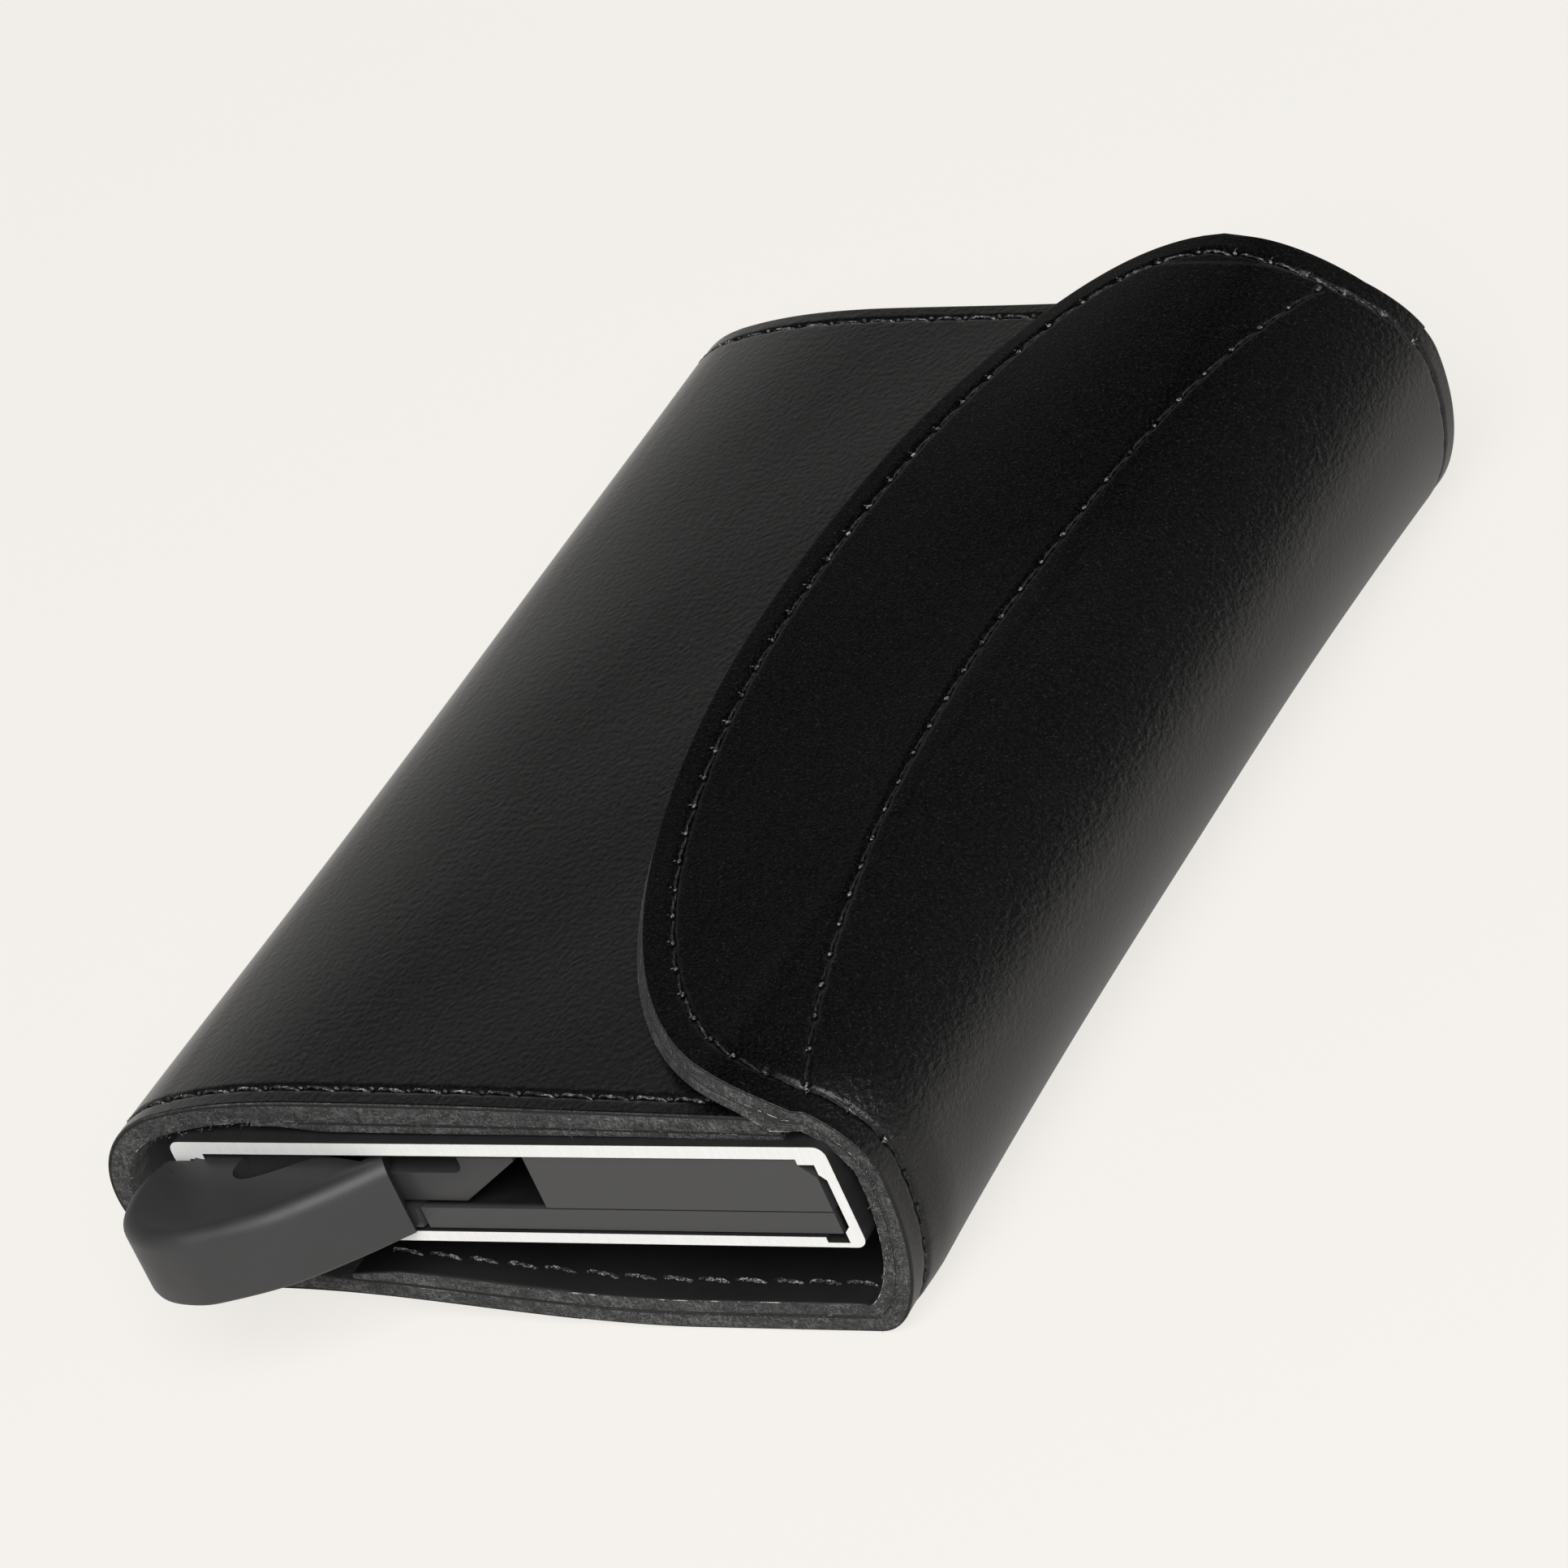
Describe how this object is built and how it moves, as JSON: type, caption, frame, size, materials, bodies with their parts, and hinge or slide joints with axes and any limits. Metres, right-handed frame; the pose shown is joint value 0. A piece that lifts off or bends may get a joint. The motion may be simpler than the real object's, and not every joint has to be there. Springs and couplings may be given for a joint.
{
  "type": "card holder",
  "caption": "Pop-up card wallet: a flat metal card case with a thumb lever that lifts the cards, wrapped in stitched black leather with a fold-over flap.",
  "frame": {"origin": "on the flat outer face of the back panel, under the middle of the card case's width and of the leather's length", "axes": "+X from the round fold to the spine, +Y from the lever end to the card mouth, +Z from the back panel up to the flap"},
  "size_m": [0.0733, 0.1095, 0.0263],
  "materials": {
    "black_leather": "fine-grained, satin",
    "lining_leather": "rough suede side",
    "anodised_aluminium": "satin, bright where cut",
    "cap_upper_plastic": "matte",
    "cap_lower_plastic": "matte",
    "lever_plastic": "matte",
    "pin_steel": "ground",
    "tape_foam": "matte",
    "black_thread": "twisted thread"
  },
  "bodies": {
    "back": {"back_cover": "black_leather", "back_lining": "lining_leather", "back_thread_near": "black_thread", "back_thread_far": "black_thread"},
    "case": {"card_case": "anodised_aluminium", "end_cap_upper": "cap_upper_plastic", "end_cap_lower": "cap_lower_plastic", "pivot_pin": "pin_steel", "mounting_tape": "tape_foam", "front_cover": "black_leather", "front_lining": "lining_leather", "front_thread_near": "black_thread", "front_thread_far": "black_thread"},
    "lever": {"ejector_lever": "lever_plastic"},
    "spine": {"spine_cover": "black_leather", "spine_lining": "lining_leather", "spine_thread_near": "black_thread", "spine_thread_far": "black_thread"},
    "flap": {"flap_cover": "black_leather", "flap_lining": "lining_leather", "flap_edge_thread": "black_thread", "flap_inner_thread": "black_thread"}
  },
  "joints": [
    {"name": "case_open", "type": "hinge", "parent": "back", "child": "case", "pos_m": [-0.03109, 0, 0.0003], "axis": [0, -1, 0], "range_deg": [0, 20]},
    {"name": "spine_open", "type": "hinge", "parent": "back", "child": "spine", "pos_m": [0.0347, 0, 0.01], "axis": [0, 1, 0], "range_deg": [0, 90]},
    {"name": "flap_lift", "type": "hinge", "parent": "spine", "child": "flap", "pos_m": [0.03063, 0, 0.02128], "axis": [0, 1, 0], "range_deg": [0, 80]},
    {"name": "lever_push", "type": "hinge", "parent": "case", "child": "lever", "pos_m": [-0.0215, -0.0449, 0.0134], "axis": [0, 0, 1], "range_deg": [0, 40]}
  ],
  "couplings": [
    {"joint": "spine_open", "follows": "case_open", "ratio": 4.5}
  ]
}
